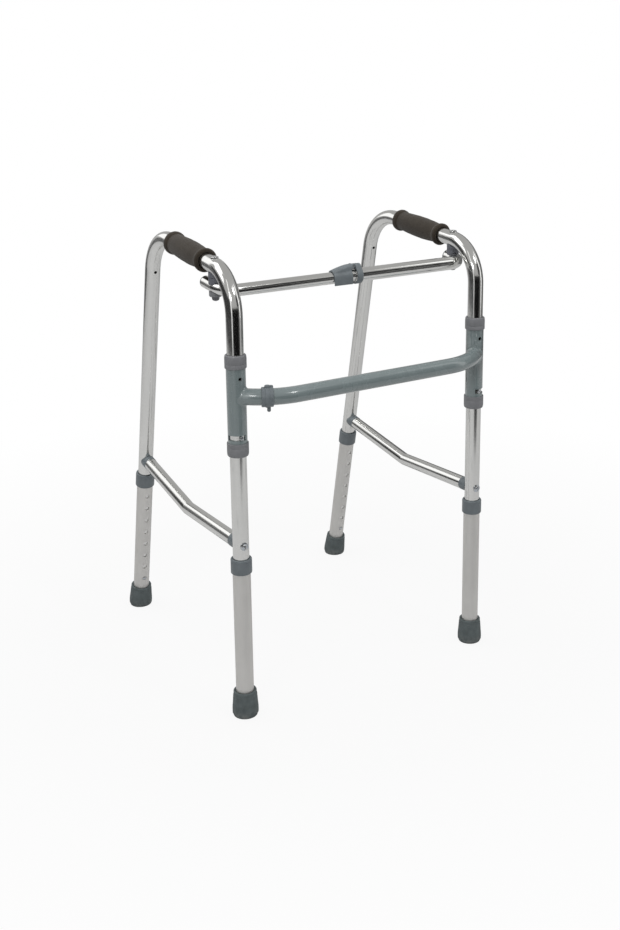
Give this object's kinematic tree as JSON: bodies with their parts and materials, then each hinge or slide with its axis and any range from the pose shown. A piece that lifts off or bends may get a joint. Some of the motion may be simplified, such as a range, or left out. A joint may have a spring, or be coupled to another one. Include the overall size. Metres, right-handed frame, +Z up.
{
  "type": "walker",
  "caption": "Folding walking frame: side frames hinged in a bowed front brace, telescoping top bar with latch, and height legs with snap buttons.",
  "frame": {"origin": "on the floor, under the middle of the walker's footprint", "axes": "+Z up, the front with its crossbar towards -Y, the user stands at +Y, +X to the right of the front view"},
  "size_m": [0.4858, 0.5268, 0.745],
  "materials": {
    "painted_frame": "gloss grey-green paint",
    "polished_tube": "bright polished",
    "satin_leg": "satin anodised",
    "zinc": "bright zinc plate",
    "spring_steel": "blued spring steel",
    "grey_plastic": "moulded blue-grey",
    "pale_plastic": "moulded mid grey",
    "rubber": "moulded dark grey",
    "foam": "soft foam, dark brown"
  },
  "bodies": {
    "brace": {"h_brace": "painted_frame", "left_sleeve_top_collar": "pale_plastic", "left_sleeve_bottom_collar": "pale_plastic", "right_sleeve_top_collar": "pale_plastic", "right_sleeve_bottom_collar": "pale_plastic", "crossbar_clip_ring": "grey_plastic", "crossbar_clip_pin": "grey_plastic"},
    "left_frame": {"left_side_tube": "polished_tube", "left_grip": "foam", "left_side_brace": "polished_tube", "left_brace_front_plug": "grey_plastic", "left_brace_rear_plug": "grey_plastic", "left_brace_front_screw": "zinc", "left_brace_rear_screw": "zinc", "left_stop_screw": "zinc", "left_pivot_bolt": "zinc", "left_pivot_upper_washer": "grey_plastic", "left_front_button_spring": "spring_steel", "left_rear_button_spring": "spring_steel", "left_pivot_nut": "zinc"},
    "left_front_leg": {"left_front_height_leg": "satin_leg", "left_front_leg_collar": "grey_plastic", "left_front_foot": "rubber"},
    "left_front_button": {"left_front_snap_button": "zinc"},
    "left_rear_leg": {"left_rear_height_leg": "satin_leg", "left_rear_leg_collar": "grey_plastic", "left_rear_foot": "rubber"},
    "left_rear_button": {"left_rear_snap_button": "zinc"},
    "right_frame": {"right_side_tube": "polished_tube", "right_grip": "foam", "right_side_brace": "polished_tube", "right_brace_front_plug": "grey_plastic", "right_brace_rear_plug": "grey_plastic", "right_brace_front_screw": "zinc", "right_brace_rear_screw": "zinc", "right_stop_screw": "zinc", "right_pivot_bolt": "zinc", "right_pivot_upper_washer": "grey_plastic", "right_front_button_spring": "spring_steel", "right_rear_button_spring": "spring_steel"},
    "right_front_leg": {"right_front_height_leg": "satin_leg", "right_front_leg_collar": "grey_plastic", "right_front_foot": "rubber"},
    "right_front_button": {"right_front_snap_button": "zinc"},
    "right_rear_leg": {"right_rear_height_leg": "satin_leg", "right_rear_leg_collar": "grey_plastic", "right_rear_foot": "rubber"},
    "right_rear_button": {"right_rear_snap_button": "zinc"},
    "left_bar": {"left_half_bar": "polished_tube", "left_pivot_lower_washer": "grey_plastic", "left_pivot_under_washer": "pale_plastic", "left_bar_end_plug": "grey_plastic"},
    "right_bar": {"right_half_bar": "polished_tube", "right_pivot_lower_washer": "grey_plastic", "right_pivot_under_washer": "pale_plastic", "right_pivot_nut": "zinc", "right_bar_end_plug": "grey_plastic", "latch_collar": "grey_plastic", "latch_hinge_pin": "zinc"},
    "latch": {"latch_lever": "grey_plastic"}
  },
  "joints": [
    {"name": "left_frame_fold", "type": "hinge", "parent": "brace", "child": "left_frame", "pos_m": [-0.2219, -0.21068, 0.3], "axis": [0, 0, 1], "range_deg": [-80, 0]},
    {"name": "right_frame_fold", "type": "hinge", "parent": "brace", "child": "right_frame", "pos_m": [0.2219, -0.21068, 0.3], "axis": [0, 0, 1], "range_deg": [0, 9.7]},
    {"name": "left_bar_turn", "type": "hinge", "parent": "left_frame", "child": "left_bar", "pos_m": [-0.2207, -0.14739, 0.67749], "axis": [0, 0, 1], "range_deg": [0, 88.2]},
    {"name": "bar_telescope", "type": "slide", "parent": "left_bar", "child": "right_bar", "axis": [-1, 0, 0], "range_m": [0, 0.0683]},
    {"name": "latch_lift", "type": "hinge", "parent": "right_bar", "child": "latch", "pos_m": [0.0025, -0.17469, 0.69359], "axis": [0, 1, 0], "range_deg": [0, 20]},
    {"name": "left_front_leg_height", "type": "slide", "parent": "left_frame", "child": "left_front_leg", "axis": [0, 0, -1], "range_m": [0, 0.1524]},
    {"name": "left_front_button_press", "type": "slide", "parent": "left_frame", "child": "left_front_button", "axis": [-0.0189, -0.9998, 0], "range_m": [0, 0.0042], "stiffness_N_per_m": 500, "deforming": ["left_front_button_spring"]},
    {"name": "left_rear_leg_height", "type": "slide", "parent": "left_frame", "child": "left_rear_leg", "axis": [0.0039, 0.2045, -0.9788], "range_m": [0, 0.1524]},
    {"name": "left_rear_button_press", "type": "slide", "parent": "left_frame", "child": "left_rear_button", "axis": [0.0185, 0.9787, 0.2046], "range_m": [0, 0.0042], "stiffness_N_per_m": 500, "deforming": ["left_rear_button_spring"]},
    {"name": "right_front_leg_height", "type": "slide", "parent": "right_frame", "child": "right_front_leg", "axis": [0, 0, -1], "range_m": [0, 0.1524]},
    {"name": "right_front_button_press", "type": "slide", "parent": "right_frame", "child": "right_front_button", "axis": [0.0189, -0.9998, 0], "range_m": [0, 0.0042], "stiffness_N_per_m": 500, "deforming": ["right_front_button_spring"]},
    {"name": "right_rear_leg_height", "type": "slide", "parent": "right_frame", "child": "right_rear_leg", "axis": [-0.0039, 0.2045, -0.9788], "range_m": [0, 0.1524]},
    {"name": "right_rear_button_press", "type": "slide", "parent": "right_frame", "child": "right_rear_button", "axis": [-0.0185, 0.9787, 0.2046], "range_m": [0, 0.0042], "stiffness_N_per_m": 500, "deforming": ["right_rear_button_spring"]}
  ],
  "couplings": [
    {"joint": "right_frame_fold", "follows": "left_frame_fold", "ratio": -0.12},
    {"joint": "left_bar_turn", "follows": "left_frame_fold", "ratio": -1.1009},
    {"joint": "bar_telescope", "follows": "left_frame_fold", "m_per_rad": -0.048831}
  ]
}
